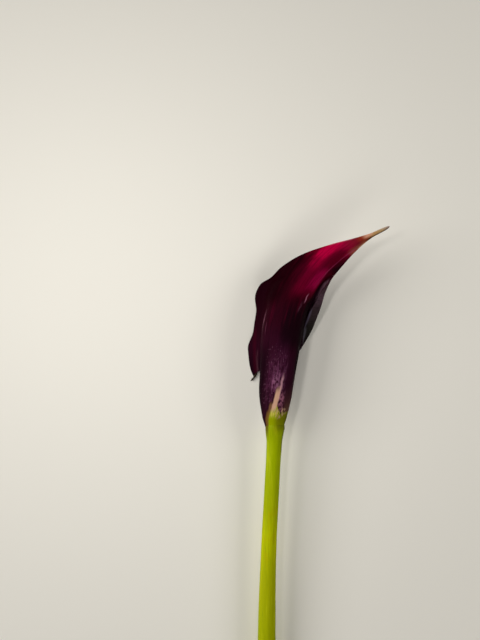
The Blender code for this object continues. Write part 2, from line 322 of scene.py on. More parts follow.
skin = tug(0.2635, 0.0035, 5, (0.3, 1.6, 0))
skin = tug(0.273, 0.004, 4, (0.6, -1.7, 0.1))
skin = tug(0.2655, 0.004, 6, (-0.8, 3.2, 0))
skin = tug(0.660, 0.026, 9, (-0.7, 0.5, 0.3))
skin = tug(0.625, 0.017, 9, (0.6, -0.6, 0))
print("the lobe's corner lies at", skin[:, 0][np.argmin(abs(places - LOBE_CORNER))].round(1))

# %% [markdown]
# ## The wall of the leaf
#
# The sheet is thickest in the tube and thins to its margins, where the light
# catches a narrow rounded edge. A Solidify modifier would give one thickness
# and a square edge, so the inner skin is laid along the normals, and three
# points round each margin off. Where the sheet would dip into the table, both
# skins are lifted, as a table presses a petal flat.

# %% Lay the inner skin and round the margins
ROUND = 3
WALL_PLACES = [0.0, 0.2, 0.6, 0.85, 1.0]
WALL_MM = [0.85, 0.85, 0.75, 0.55, 0.4]
THINNER = 0.45
THIN_REACH = 4.0
ABOVE_TABLE = 0.02


def normals_of(grid):
    """Outward directions of a grid of points."""
    over = np.gradient(grid, axis=1)
    along = np.gradient(grid, axis=0)
    normals = np.cross(over, along)
    return normals / np.linalg.norm(normals, axis=2, keepdims=True)


to_margin = np.minimum(spans - spans[:, :1], spans[:, -1:] - spans)
body = between(WALL_PLACES, WALL_MM, places)[:, None]
wall = body * (1.0 - THINNER + THINNER * ease(to_margin / THIN_REACH))
outward = normals_of(skin)
lining = skin - outward * wall[..., None]
height_of = lie[2]


def lift_to_table(lowest):
    """The shift that brings heights below the table's top back up to it."""
    return np.maximum(ABOVE_TABLE - lowest - TABLE_PLACE[2], 0.0)[..., None] * height_of


pressed = lift_to_table(np.minimum(skin @ height_of, lining @ height_of))
skin = skin + pressed
lining = lining + pressed


def rounded_margin(column, inner):
    """Points round one margin, from the outer skin to the lining."""
    beyond = skin[:, column] - skin[:, inner]
    beyond /= np.linalg.norm(beyond, axis=1, keepdims=True)
    centre = 0.5 * (skin[:, column] + lining[:, column])
    half = 0.5 * wall[:, column][:, None]
    angle = (math.pi * np.arange(1, ROUND + 1) / (ROUND + 1))[None, :, None]
    way = np.cos(angle) * outward[:, None, column] + np.sin(angle) * beyond[:, None]
    rim = centre[:, None] + half[:, None] * way
    return rim + lift_to_table(rim @ height_of)


far_rim = rounded_margin(-1, -2)
near_rim = rounded_margin(0, 1)
loops = np.concatenate([skin, far_rim, lining[:, ::-1], near_rim[:, ::-1]], axis=1)
RING = loops.shape[1]
print("a closed section has", RING, "points")

# %% [markdown]
# ## From points to faces
#
# The sections are closed loops that stand one behind the other. A face joins
# four neighbours of two loops, and at the foot and at the tip a strip of faces
# joins the two skins.

# %% Faces of the closed sheet


def closed_sheet_faces(rows, ring, columns):
    """Quads round and along, and the strips that close both ends."""
    faces = []
    for row in range(rows - 1):
        for i in range(ring):
            j = (i + 1) % ring
            a, b = row * ring, (row + 1) * ring
            faces.append((a + i, a + j, b + j, b + i))
    for row, flip in ((0, False), (rows - 1, True)):
        a = row * ring
        strip = []
        for i in range(columns - 1):
            inner = 2 * columns + ROUND - 1 - i
            strip.append((a + i + 1, a + i, a + inner, a + inner - 1))
        strip.append(tuple(a + k for k in reversed(range(columns - 1, columns + ROUND + 1))))
        strip.append((a,) + tuple(a + k for k in range(ring - 1, ring - ROUND - 2, -1)))
        faces += [tuple(reversed(face)) if flip else face for face in strip]
    return faces


sheet_faces = closed_sheet_faces(ROWS, RING, COLUMNS)
print("the sheet has", len(sheet_faces), "faces")

# %% [markdown]
# ## Pieces, maps and numbers
#
# A piece is a mesh that also carries what its finish asks for. On the leaf the
# map called leaf holds each point's share across and along, and the map called
# span holds its walk and its height in millimetres. One number then says
# whether the point is on the lining, and one how far the margin is.

# %% Make a piece and write on it


def put(name, data):
    """An object with this data, placed in the scene."""
    made = bpy.data.objects.new(name, data)
    bpy.context.scene.collection.objects.link(made)
    return made


def round_the_ring(grid, far_value, near_value):
    """Values of one grid laid round the closed sections, with a value for each rim."""
    far, near = (np.repeat(value[:, None], ROUND, axis=1) for value in (far_value, near_value))
    return np.concatenate([grid, far, grid[:, ::-1], near], axis=1)


def new_piece(name, points, faces, finish):
    """A smooth mesh object from points of the flower's frame."""
    print(name, "has", len(faces), "faces")
    mesh = bpy.data.meshes.new(name)
    mesh.from_pydata(laid(points.reshape(-1, 3)).tolist(), [], faces)
    mesh.validate()
    mesh.shade_smooth()
    mesh.materials.append(finish.material)
    return put(name, mesh)


def add_map(piece, name, across, along):
    """A two-number map on the mesh, read by the finish."""
    mesh = piece.data
    corner = np.empty(len(mesh.loops), dtype=np.int32)
    mesh.loops.foreach_get("vertex_index", corner)
    values = np.stack([across.ravel()[corner], along.ravel()[corner]], axis=1)
    layer = mesh.uv_layers.new(name=name)
    layer.data.foreach_set("uv", values.ravel().astype(np.float32))


def add_number(piece, name, values):
    """One number for each point of the mesh, read by the finish."""
    layer = piece.data.attributes.new(name, "FLOAT", "POINT")
    layer.data.foreach_set("value", values.ravel().astype(np.float32))


belongs = np.zeros((ROWS, RING))
belongs[:, COLUMNS + ROUND : 2 * COLUMNS + ROUND] = 1.0
belongs[:, COLUMNS : COLUMNS + ROUND] = belongs[:, -ROUND:] = 0.5
print("points on the lining:", int((belongs == 1.0).sum()), "of", belongs.size)

# %% [markdown]
# ## Helpers for the finishes
#
# A graph of nodes is long and hard to read when it is written out, so this
# helper adds one node at a time and takes a number or another node's output.
# Colours are given as they look on a screen. A coat is laid with its colour,
# its shares and its places. A place with two numbers is a slope from the first
# to the second, and one with three is a stretch between the first two, with
# soft ends as wide as the third.

# %% A finish that grows node by node
DARKEST_CURVED = 0.04


def paint(*channels):
    """A screen colour from 0 to 255 as linear light."""
    shares = [channel / 255 for channel in channels]
    light = [((s + 0.055) / 1.055) ** 2.4 if s > DARKEST_CURVED else s / 12.92 for s in shares]
    return light + [1.0]


class Finish:
    """A node material and short ways to add to it."""

    def __init__(self, name, gloss):
        self.material = bpy.data.materials.new(name)
        self.material.use_nodes = True
        self.tree = self.material.node_tree
        self.shader = self.tree.nodes["Principled BSDF"]
        self.surface("Specular IOR Level", gloss)
        self.places = {}
        self.coats = 0

    def join(self, value, socket):
        """Set a socket to a value, or link an output to it."""
        if isinstance(value, bpy.types.NodeSocket):
            self.tree.links.new(value, socket)
        else:
            socket.default_value = value

    def surface(self, name, value):
        """Set or link one of the shader's own sockets."""
        self.join(value, self.shader.inputs[name])

    def add(self, kind, inputs, output=0, **settings):
        """Add a node, fill its inputs and give back one of its outputs."""
        node = self.tree.nodes.new("ShaderNode" + kind)
        for key, value in settings.items():
            setattr(node, key, value)
        for key, value in inputs.items():
            self.join(value, node.inputs[key])
        return node.outputs[output]

    def math(self, operation, a, b=0.0):
        return self.add("Math", {0: a, 1: b}, operation=operation)

    def plus(self, a, b):
        return self.math("ADD", a, b)

    def minus(self, a, b):
        return self.math("SUBTRACT", a, b)

    def times(self, a, b):
        return self.math("MULTIPLY", a, b)

    def rise(self, value, low, high):
        """0 below low, 1 above high, smooth in between; falls where low is the larger."""
        inputs = {"Value": value, "From Min": low, "From Max": high}
        return self.add("MapRange", inputs, interpolation_type="SMOOTHSTEP")

    def bump_at(self, value, middle, width):
        """1 at the middle, falling to 0 at a width to each side."""
        away = self.math("ABSOLUTE", self.minus(value, middle))
        return self.rise(away, width, 0.0)

    def blend(self, share, under, over):
        """One colour over another."""
        return self.add("Mix", {0: share, 6: under, 7: over}, output=2, data_type="RGBA")

    def steps(self, value, stops):
        """A colour that changes along a value, from (place, colour) pairs."""
        node = self.tree.nodes.new("ShaderNodeValToRGB")
        ramp = node.color_ramp
        ramp.interpolation = "EASE"
        while len(ramp.elements) < len(stops):
            ramp.elements.new(1.0)
        for element, (place, colour) in zip(ramp.elements, stops):
            element.position = place
            element.color = paint(*colour)
        self.join(value, node.inputs[0])
        return node.outputs[0]

    def nudge(self, value, drift, by):
        """Push a value about by a noise, half of it each way."""
        return self.plus(value, self.times(self.minus(drift, 0.5), by))

    def within(self, value, low, high, soft):
        """1 between low and high, falling to 0 over a soft stretch outside them."""
        return self.times(self.rise(value, low - soft, low), self.rise(value, high + soft, high))

    def lay(self, colour, share, *shares, **places):
        """Lay one more coat over the colour, where all its shares are high."""
        shares = list(shares)
        for name, span in places.items():
            reach = self.rise if len(span) == 2 else self.within
            shares.append(reach(self.places[name], *span))
        for other in shares:
            share = self.times(share, other)
        self.coat = self.blend(share, self.coat, paint(*colour))
        self.coats += 1

    def spot(self, across, along, wide, long):
        """A place in the noise, with its own scale across and along."""
        return self.add("CombineXYZ", {"X": self.times(across, wide), "Y": self.times(along, long)})

    def noise(self, vector, detail=2.0, roughness=0.5, wander=0.0):
        inputs = {"Vector": vector, "Scale": 1.0, "Detail": detail, "Roughness": roughness}
        return self.add("TexNoise", {**inputs, "Distortion": wander})

    def map_of(self, name):
        """The two numbers of one of the mesh's maps."""
        split = self.tree.nodes.new("ShaderNodeSeparateXYZ")
        self.join(self.add("UVMap", {}, uv_map=name), split.inputs[0])
        return split.outputs[0], split.outputs[1]

    def stretched(self, scale):
        """A place in the piece's own space, in metres, scaled along X, Y and Z."""
        place = self.add("TexCoord", {}, output=3)
        return self.add("VectorMath", {0: place, 1: scale}, operation="MULTIPLY")

    def number(self, name):
        return self.add("Attribute", {}, output=2, attribute_name=name)

    def relief(self, height, distance, strength=1.0):
        """Raise the surface where the height is large; distance in metres."""
        inputs = {"Height": height, "Distance": distance, "Strength": strength}
        self.surface("Normal", self.add("Bump", inputs))


print("a middle grey is", round(paint(128, 128, 128)[0], 3), "in linear light")

# %% [markdown]
# ## The colour of the spathe
#
# Outside, the colour runs from purple in the tube through almost black maroon
# to crimson below the tip, and the tip dries to gold. An image painted over the
# leaf could say that, but it would fit this one leaf only. So coats are laid on
# a ground that changes from foot to tip, one for each thing that the eye can
# name. A coat is placed by the walk from the midrib in millimetres and by the
# share of the way to the tip, and both drift a little, so that no border is
# ruled.

# %% Where a point is on the leaf
f = Finish("spathe_maroon_and_crimson", 0.005)
walk_mm, along_mm = f.map_of("span")
leaf_up = f.map_of("leaf")[1]


def leaf_noise(wide, long, **look):
    """Noise on the leaf, with its own scale across and along."""
    return f.noise(f.spot(walk_mm, along_mm, wide, long), **look)


slow_drift = leaf_noise(0.22, 0.07, detail=3.0, wander=0.4)
quick_drift = leaf_noise(0.9, 0.25)
across = f.nudge(f.nudge(walk_mm, slow_drift, 4.0), quick_drift, 1.2)
up = f.nudge(f.nudge(leaf_up, slow_drift, 0.03), quick_drift, 0.012)
f.places = {"across": across, "up": up, "walk_mm": walk_mm, "leaf_up": leaf_up}
print("nodes so far:", len(f.tree.nodes))

# %% The ground from foot to tip
GROUND = [
    (0.00, (42, 14, 26)),
    (0.24, (46, 12, 29)),
    (0.36, (45, 8, 25)),
    (0.47, (42, 4, 17)),
    (0.58, (44, 2, 13)),
    (0.70, (62, 0, 18)),
    (0.77, (104, 0, 27)),
    (0.82, (150, 5, 50)),
    (0.87, (124, 20, 38)),
    (0.90, (138, 48, 26)),
    (0.94, (184, 142, 92)),
    (0.965, (182, 148, 98)),
    (1.00, (140, 120, 114)),
]
f.coat = f.steps(up, GROUND)
print("the ground has", len(GROUND), "colours")

# %% [markdown]
# ## Painted shade at the sides and a crimson flush
#
# Where the leaf turns to the sides and on the lower lobe it is painted almost
# black, as painted shade, and the grey on the right of the tube is a painted
# sheen. Along the crown of the tube a dark band runs up to the place where the
# funnel opens. From there the crimson breaks out, brightest on the midrib and
# under the tip.

# %% Painted shade, painted sheen and bright coats
f.lay((25, 6, 14), 0.9, across=(-6, 3, 4), up=(0.37, 0.47, 0.07))
# Painted shade where the near side turns away, low in the tube and below the tip, and on the lower lobe.
f.lay((22, 3, 12), 0.85, across=(-11.5, -16.5), up=(0.09, 0.28, 0.12))
f.lay((24, 0, 5), 0.9, across=(-11, -17), up=(0.56, 0.71, 0.07))
f.lay((30, 3, 12), 0.7, across=(-26, -31), up=(0.42, 0.60, 0.09))
# Painted sheen: a grey grazing reflection on the right side of the tube.
f.lay((44, 25, 28), 0.9, across=(0, 6), up=(0.40, 0.06))
f.lay((92, 54, 52), 0.5, across=(-3.5, -0.5), up=(0.19, 0.07))
# Painted shade on the right side of the tube.
f.lay((20, 8, 11), 0.95, across=(1, 5), up=(0.27, 0.55, 0.12))
f.lay((104, 1, 34), 0.95, across=(-6, 3, 6), up=(0.61, 0.72, 0.08))
f.lay((160, 6, 66), 0.9, across=(-0.5, 1.8, 3.8), up=(0.63, 0.67, 0.05))
f.lay((146, 1, 46), 0.85, across=(-8.5, -5.5, 2.5), up=(0.72, 0.78, 0.05))
f.lay((92, 1, 26), 0.85, across=(-2.2, -0.4, 2), up=(0.745, 0.80, 0.04))
# Painted shade on the right side below the tip.
f.lay((26, 8, 16), 0.9, across=(2.5, 6), up=(0.72, 0.84, 0.04))
f.lay((190, 2, 60), 0.8, across=(-9.5, -6.5, 2), up=(0.76, 0.82, 0.035))
f.lay((150, 84, 64), 0.7, across=(-0.5, 2.5), up=(0.83, 0.90, 0.03))
print("coats so far:", f.coats)

# %% [markdown]
# ## Veins, painted highlights on the folds, and pale specks
#
# The veins streak the leaf from foot to tip, and the tube carries mauve dust
# and pale specks. The near lobe hangs from a fold whose crest carries painted
# highlights, a thin pink painted highlight runs down the crease beside the
# midrib below the tip, and a small pale painted highlight lies at its lower
# end. A pale streak of painted highlight lies on the lobe too. Streaks are
# noise stretched along the leaf, and specks are the peaks of a finer noise.

# %% Veins and streaks
fine_veins = leaf_noise(1.7, 0.11, detail=3.0, roughness=0.6)
broad_veins = leaf_noise(0.55, 0.04)
f.lay((14, 1, 7), 0.45, f.rise(fine_veins, 0.5, 0.32), leaf_up=(0.93, 0.86))
f.lay((116, 2, 44), 0.22, f.rise(broad_veins, 0.46, 0.74), up=(0.50, 0.84, 0.10), across=(-16, 0, 4))
in_tube = f.within(across, -10.5, -4.0, 3.5)
haze = leaf_noise(0.7, 0.32, detail=4.0, roughness=0.7)
f.lay((64, 20, 46), 0.45, f.rise(slow_drift, 0.35, 0.6), in_tube, up=(0.20, 0.30, 0.10))
f.lay((106, 52, 82), 0.5, f.rise(haze, 0.46, 0.66), in_tube, up=(0.15, 0.24, 0.11))
f.lay((116, 66, 92), 0.35, f.rise(fine_veins, 0.52, 0.70), in_tube, up=(0.17, 0.25, 0.10))
f.lay((116, 62, 94), 0.55, f.rise(quick_drift, 0.42, 0.7), walk_mm=(-8.5, -4, 2), up=(0.18, 0.235, 0.04))
print("coats so far:", f.coats)

# %% Painted highlights on the fold and ridge, and specks
speck_noise = leaf_noise(1.5, 0.8, detail=1.0)
f.lay((150, 104, 126), 0.4, f.rise(speck_noise, 0.62, 0.76), across=(-14, -4, 2), up=(0.12, 0.32, 0.05))
broken = f.rise(fine_veins, 0.36, 0.56)
bent_walk = f.nudge(walk_mm, leaf_noise(0.05, 0.16), 3.0)
# Painted highlights along the crest of the lobe's fold.
f.lay((160, 100, 122), 0.9, f.bump_at(bent_walk, -22.5, 0.9), broken, leaf_up=(0.45, 0.465, 0.05))
f.lay((120, 66, 84), 0.6, f.bump_at(bent_walk, -28.6, 1.1), broken, leaf_up=(0.445, 0.46, 0.045))
f.lay((104, 50, 72), 0.7, f.bump_at(bent_walk, -18.2, 0.6), broken, leaf_up=(0.415, 0.43, 0.03))
# Painted highlight along the crease beside the midrib below the tip.
f.lay((176, 62, 104), 0.55, f.bump_at(walk_mm, 2.4, 0.9), broken, leaf_up=(0.65, 0.82, 0.05))
# Painted highlights: a small pale spot at the lower end of that crease, and a fainter one below it.
f.lay((178, 108, 132), 0.85, f.bump_at(bent_walk, 0.8, 0.7), leaf_up=(0.548, 0.562, 0.022))
f.lay((120, 70, 88), 0.4, f.bump_at(bent_walk, -0.9, 1), broken, leaf_up=(0.51, 0.52, 0.03))
# Painted highlight: a pale streak on the lobe.
f.lay((118, 70, 82), 0.25, f.bump_at(walk_mm, -34.4, 1.5), broken, leaf_up=(0.28, 0.33, 0.03))
f.lay((62, 3, 22), 0.45, f.bump_at(walk_mm, -36, 2), leaf_up=(0.27, 0.42, 0.04))
f.lay((90, 80, 84), 0.5, f.bump_at(bent_walk, 5.4, 0.9), broken, leaf_up=(0.322, 0.334, 0.02))
print("coats so far:", f.coats)

# %% [markdown]
# ## Green at the foot
#
# The stalk's green runs up into the purple: a ragged edge all round, and one
# tongue on the front that ends in a cream streak and a thin pink one. A noise
# frays the tongue's height.

# %% The green tongue and its cream end
fray = leaf_noise(1.0, 0.28, detail=3.0, roughness=0.6, wander=0.5)
patches = leaf_noise(0.9, 0.45)
tongue = f.bump_at(walk_mm, -5.8, 3.4)
tongue_line = f.minus(walk_mm, f.times(leaf_up, 12.0))
frayed_line = f.nudge(tongue_line, fray, 1.6)
f.lay((92, 66, 46), 0.5, f.within(f.nudge(up, fray, 0.08), 0.05, 0.07, 0.04), across=(-2, 1))
f.lay((152, 90, 110), 0.9, f.rise(patches, 0.37, 0.62), walk_mm=(-4, -2.6, 1.5), up=(0.08, 0.12, 0.04))
f.lay((140, 100, 62), 0.6, walk_mm=(-8.8, -7.6, 1), up=(0.05, 0.085, 0.03))
f.lay((150, 94, 124), 0.6, f.rise(patches, 0.42, 0.62), walk_mm=(-9, -6.5, 1.2), up=(0.175, 0.21, 0.03))
f.lay((196, 142, 152), 0.9, f.bump_at(frayed_line, -6.6, 0.9), up=(0.135, 0.195, 0.04))
height = f.nudge(f.minus(leaf_up, f.times(tongue, 0.035)), fray, 0.045)
far_wave = leaf_noise(0.34, 0.05)
height = f.nudge(height, far_wave, f.times(f.rise(walk_mm, 0.0, 4.0), 0.09))
flank = f.minus(walk_mm, f.times(leaf_up, 10.0))
green = f.times(f.rise(height, 0.060, 0.044), f.rise(f.nudge(flank, quick_drift, 1.5), -10.2, -8.2))
f.lay((142, 152, 2), green)
f.lay((112, 78, 36), 0.8, f.within(flank, -10.4, -9, 0.8), leaf_up=(0.075, 0.05))
f.lay((110, 110, 8), 0.9, green, across=(-6, -2), leaf_up=(-0.02, 0.03))
f.lay((76, 76, 10), 0.9, green, across=(-1.5, 3.5), leaf_up=(-0.02, 0.03))
f.lay((208, 190, 86), 0.8, green, f.rise(fray, 0.40, 0.60), walk_mm=(-7.6, -4.2, 1.2), up=(0.025, 0.055))
f.lay((206, 160, 132), 0.95, f.within(frayed_line, -8.3, -6.8, 0.9), up=(0.085, 0.14, 0.035))
f.lay((196, 154, 122), 0.75, f.rise(patches, 0.46, 0.64), walk_mm=(-4.6, 0.6, 0.8), up=(0.042, 0.068, 0.014))
print("coats so far:", f.coats)

# %% [markdown]
# ## Margins, the rolled far side and the lining
#
# The far margin rolls back out, so the viewer sees three strips side by side:
# the outer skin turning away, a painted highlight where it is most sharply
# bent, and the lining with its fine cross wrinkles. The crest of the roll
# wanders away from the midrib towards the foot, so a slanted line across both
# numbers finds it. The lining is charcoal, paler mauve-grey part of the way up,
# partly its own colour and partly a painted sheen, with painted highlights on
# its crest and along its border, and almost black deep in the tube. Near the
# tip the margins carry painted highlights, and the tip a painted shade on its
# lower side.

# %% The rolled strip, the margins and their painted highlights
CREST_SLOPE = 68.0
CREST_OUT = 53.6
CREST_IN = 64.6
BORDER_IN = 33.5

on_lining, to_edge = f.number("lining"), f.number("margin")
outside = f.rise(on_lining, 0.6, 0.4)
inside = f.rise(on_lining, 0.5, 0.7)
crest = f.plus(walk_mm, f.times(leaf_up, CREST_SLOPE))
f.lay((76, 28, 52), 0.9, outside, across=(8, 12), up=(0.38, 0.66, 0.10))
# Painted highlights where the rolled strip is most sharply bent.
f.lay((160, 116, 132), 0.85, f.bump_at(crest, CREST_OUT, 1.7), leaf_up=(0.47, 0.66, 0.05), walk_mm=(8, 9.5))
f.lay((150, 140, 150), 0.85, f.bump_at(crest, CREST_OUT, 1.9), leaf_up=(0.34, 0.46, 0.03), walk_mm=(8, 9.5))
# Painted highlight on the near margin below the tip.
f.lay((210, 112, 134), 0.6, f.rise(to_edge, 0.8, 0), outside, leaf_up=(0.81, 0.86, 0.02), walk_mm=(0, -0.5))
f.lay((206, 160, 122), 0.6, f.rise(to_edge, 0.8, 0), leaf_up=(0.86, 0.92, 0.02), walk_mm=(-0.5, 0.5))
# Painted highlight on the tip, painted shade on its lower side, and a pale painted highlight at its end.
f.lay((232, 172, 142), 0.6, walk_mm=(0.1, -0.9), leaf_up=(0.912, 0.922, 0.022))
f.lay((58, 26, 8), 0.95, walk_mm=(0.2, 0.8), leaf_up=(0.885, 0.915))
f.lay((198, 178, 162), 0.5, walk_mm=(0.2, -0.6), leaf_up=(0.955, 0.98))
print("coats so far:", f.coats)

# %% The lining
# The paler mauve-grey of this ground is partly the lining's own colour and partly a painted sheen.
LINING_GROUND = [
    (0.00, (24, 12, 14)),
    (0.36, (24, 16, 16)),
    (0.43, (34, 31, 27)),
    (0.52, (56, 43, 46)),
    (0.58, (81, 59, 68)),
    (0.66, (66, 44, 48)),
    (0.82, (84, 30, 44)),
    (0.92, (150, 104, 70)),
    (1.00, (150, 124, 106)),
]
wrinkles = leaf_noise(0.35, 1.9, detail=3.0, roughness=0.6, wander=0.3)
inner_coat = f.steps(up, LINING_GROUND)
inner_coat = f.blend(f.times(0.5, f.rise(wrinkles, 0.55, 0.35)), inner_coat, paint(14, 10, 9))
deep = f.times(f.rise(to_edge, 11.0, 18.0), f.rise(up, 0.86, 0.76))
inner_coat = f.blend(deep, inner_coat, paint(26, 7, 12))
f.coat = f.blend(inside, f.coat, inner_coat)
# Painted highlights on the lining's crest and along its border.
f.lay((88, 78, 94), 0.75, inside, f.bump_at(crest, CREST_IN, 1.2), leaf_up=(0.43, 0.53, 0.03))
f.lay((86, 80, 88), 0.75, inside, f.bump_at(walk_mm, BORDER_IN, 1.2), leaf_up=(0.34, 0.43, 0.03))
f.surface("Base Color", f.coat)
print("coats on the spathe:", f.coats)

# %% [markdown]
# ## The touch of the spathe
#
# A petal's skin is a felt of tiny domed cells, matt when looked at straight
# on. So the roughness follows the veins, and two reliefs are laid over each
# other, the veins a few hundredths of a millimetre high and a grain finer than
# that. The lining adds its wrinkles.

# %% Roughness and relief
VEIN_HEIGHT = 0.16 * MM

grain = leaf_noise(7.0, 5.0)
f.surface("Roughness", f.plus(0.36, f.times(fine_veins, 0.3)))
ridges = f.plus(fine_veins, f.times(grain, 0.12))
cross_ridges = f.times(f.times(wrinkles, 1.3), f.rise(on_lining, 0.4, 0.7))
f.relief(f.plus(ridges, cross_ridges), VEIN_HEIGHT, 0.7)
print("the spathe's finish has", len(f.tree.nodes), "nodes")

# %% Set the spathe down
spathe_piece = new_piece("rolled_spathe", loops, sheet_faces, f)
side_share = np.where(spans < 0, -spans / spans[:, :1], spans / spans[:, -1:])
on_leaf = round_the_ring(0.5 + 0.5 * side_share, np.ones(ROWS), np.zeros(ROWS))
on_span = round_the_ring(spans, spans[:, -1], spans[:, 0])
up_leaf = np.repeat(places[:, None], RING, axis=1)
add_map(spathe_piece, "leaf", on_leaf, up_leaf)
add_map(spathe_piece, "span", on_span, up_leaf * SPATHE_LENGTH)
add_number(spathe_piece, "lining", belongs)
add_number(spathe_piece, "margin", round_the_ring(to_margin, np.zeros(ROWS), np.zeros(ROWS)))
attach(spathe_piece, "root")
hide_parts("spathe")

# %% [markdown]
# ## The stem
#
# The stalk is smooth, round and full of water. It is thickest at the cut end
# and swells once more where the leaf grows from it. A curve with a bevel would
# be a perfect pipe, and no stalk is one: so rings are set along the route one
# by one, with faint ribs and a faint swell. Where the thick end would press
# into the table, it is lifted like the petal.

# %% Rings along the stem
STEM_ROUTE = [
    (-4.5, -190, 0, 5), (-4.8, -172, 0.5, 4.95), (-5, -152, 1, 4.85),
    (-5, -132, 1.3, 4.75), (-4.9, -113, 1.4, 4.65), (-4.65, -95, 1.3, 4.45),
    (-4.2, -77, 1.1, 4.25), (-3.5, -58, 0.8, 4.05), (-2.5, -39, 0.5, 3.9),
    (-1.6, -22, 0.2, 3.9), (-0.9, -9, 0.1, 4.1), (-0.7, -4, 0.1, 4.75),
    (-0.5, -1.4, 0.1, 5.05), (-0.5, 0, 0.1, 4.9),
]
STEM_LENGTH = 190.0
NECK_LENGTH = 10.0
STEM_RINGS = 200
NECK_RINGS = 60
STEM_SIDES = 72
RIBS = [(0.035, 7, 0.02, 0.0), (0.02, 11, -0.03, 1.0)]
SWELLS = [(0.04, 0.11, 0.0), (0.03, 0.053, 2.0)]
CUT_SLANT = math.tan(math.radians(18.0))
CUT_REACH = 12.0

route = np.array(STEM_ROUTE)
long_part = np.linspace(-STEM_LENGTH, -NECK_LENGTH, STEM_RINGS)
neck = np.linspace(0.5 - NECK_LENGTH, 0.0, NECK_RINGS)
around = np.linspace(0.0, 2 * math.pi, STEM_SIDES, endpoint=False)
rings = []
for y in np.concatenate([long_part, neck]):
    x, z, reach = (float(between(route[:, 1], route[:, k], y)) for k in (0, 2, 3))
    swells = [high * math.sin(wave * y + start) for high, wave, start in SWELLS]
    ribs = [high * np.sin(n * around + twist * y + start) for high, n, twist, start in RIBS]
    reach = reach + sum(swells) + sum(ribs)
    over = reach * np.sin(around)
    near_cut = max(0.0, 1.0 - (y + STEM_LENGTH) / CUT_REACH)
    along = y + near_cut * CUT_SLANT * over
    rings.append(np.stack([x + reach * np.cos(around), along, z + over], axis=1))
rings = np.array(rings)
rings = rings + lift_to_table(rings @ height_of)
print("stem runs from", rings[0, :, 1].min().round(1), "to", rings[-1, 0, 1].round(1), "mm")

# %% [markdown]
# ## Closing the stem
#
# A knife leaves a slanted oval face with a crisp edge, so a few rings close the
# cut end, the widest only just inside the edge to round it. The other end
# narrows to the seat, the short knob on which the spadix stands.

# %% Close both ends and build the stem


def shrunk(ring, factor, lift):
    """A smaller copy of a ring round its own middle, moved along the stem."""
    middle = ring.mean(axis=0)
    smaller = middle + (ring - middle) * factor
    smaller[:, 1] += lift
    return smaller


def pipe_faces(rings):
    """Quads between neighbouring rings, and a lid on the first and the last."""
    count, sides = rings.shape[:2]
    faces = []
    for row in range(count - 1):
        for i in range(sides):
            j = (i + 1) % sides
            a, b = row * sides, (row + 1) * sides
            faces.append((a + i, b + i, b + j, a + j))
    faces.append(tuple(range(sides)))
    faces.append(tuple(reversed(range((count - 1) * sides, count * sides))))
    return faces


def turns_round(rings):
    """How far round the pipe each point is, from 0 to 1."""
    count, sides = rings.shape[:2]
    return np.tile(np.arange(sides) / sides, (count, 1))


def around_axis(ahead, turn):
    """Directions square to an axis, for turns from 0 to 1."""
    side = np.cross(ahead, [0.0, 0.0, 1.0])
    side /= np.linalg.norm(side, axis=-1, keepdims=True)
    over = np.cross(side, ahead)
    angle = 2 * math.pi * turn[..., None]
    return np.cos(angle) * side + np.sin(angle) * over


CUT_RINGS = [(0.1, 0.0), (0.4, 0.0), (0.7, 0.0), (0.87, 0.0), (0.93, 0.0), (0.975, 0.02), (0.995, 0.1)]
EDGE_ROUND = 0.25
SEAT_LENGTH = 6.0
SEAT_SHARE = 2.9 / 4.9
SEAT_LEAN = 0.6
SEAT_FOOT = [(0.97, 0.3), (0.85, 0.6), (SEAT_SHARE, 0.9)]
SEAT_TOP = [(SEAT_SHARE, SEAT_LENGTH - 0.5), (0.8 * SEAT_SHARE, SEAT_LENGTH)]

cut = [shrunk(rings[0], share, lift) for share, lift in CUT_RINGS]
rings[0, :, 1] += EDGE_ROUND
seat = np.array([shrunk(rings[-1], share, lift) for share, lift in SEAT_FOOT + SEAT_TOP])
seat[-len(SEAT_TOP) :, :, 0] += SEAT_LEAN
stem_points = np.concatenate([np.array(cut), rings, seat])
print("closed stem:", len(stem_points), "rings of", STEM_SIDES)

# %% [markdown]
# ## The finish of the stem
#
# The stalk is yellow-green, greener near the bloom, with one bright stretch in
# the middle of what the camera sees and a little ochre mottling on it. Fibres
# show as faint lines under its thin skin, and the water in it makes cloudy
# patches. All of that is noise in the stem's own space, drawn out along it, so
# nothing shows a seam. Just under the leaf one side is browner. The cut face
# is pale and wet inside a ring of dark skin, with the fibres' ends as dots.

# %% Yellow-green with fibres
STEM_GROUND = [
    (0.00, (182, 184, 34)),
    (0.08, (172, 174, 8)),
    (0.44, (164, 170, 3)),
    (0.56, (168, 172, 4)),
    (0.69, (182, 190, 0)),
    (0.78, (160, 172, 0)),
    (0.92, (154, 170, 0)),
    (1.00, (142, 156, 2)),
]

f = Finish("stem_yellow_green", 0.02)
stem_turn, stem_y = f.map_of("stem")
climb = f.plus(1.0, f.math("DIVIDE", stem_y, STEM_LENGTH))
f.places = {"climb": climb, "stem_turn": stem_turn}
fibres = f.noise(f.stretched((850.0, 55.0, 850.0)), detail=3.0, roughness=0.6)
clouds = f.noise(f.stretched((260.0, 60.0, 260.0)))
mottle = f.noise(f.stretched((900.0, 160.0, 900.0)), detail=3.0, roughness=0.6)
f.coat = f.steps(f.nudge(climb, clouds, 0.06), STEM_GROUND)
f.lay((124, 142, 4), 0.45, f.rise(fibres, 0.48, 0.3))
f.lay((196, 200, 30), 0.35, f.rise(fibres, 0.54, 0.72))
f.lay((192, 192, 20), 0.3, f.rise(clouds, 0.55, 0.75))
f.lay((180, 160, 0), 0.35, f.rise(mottle, 0.46, 0.64), climb=(0.64, 0.75, 0.06))
f.lay((84, 62, 16), 0.8, stem_turn=(0.40, 0.60, 0.05), climb=(0.95, 0.995))
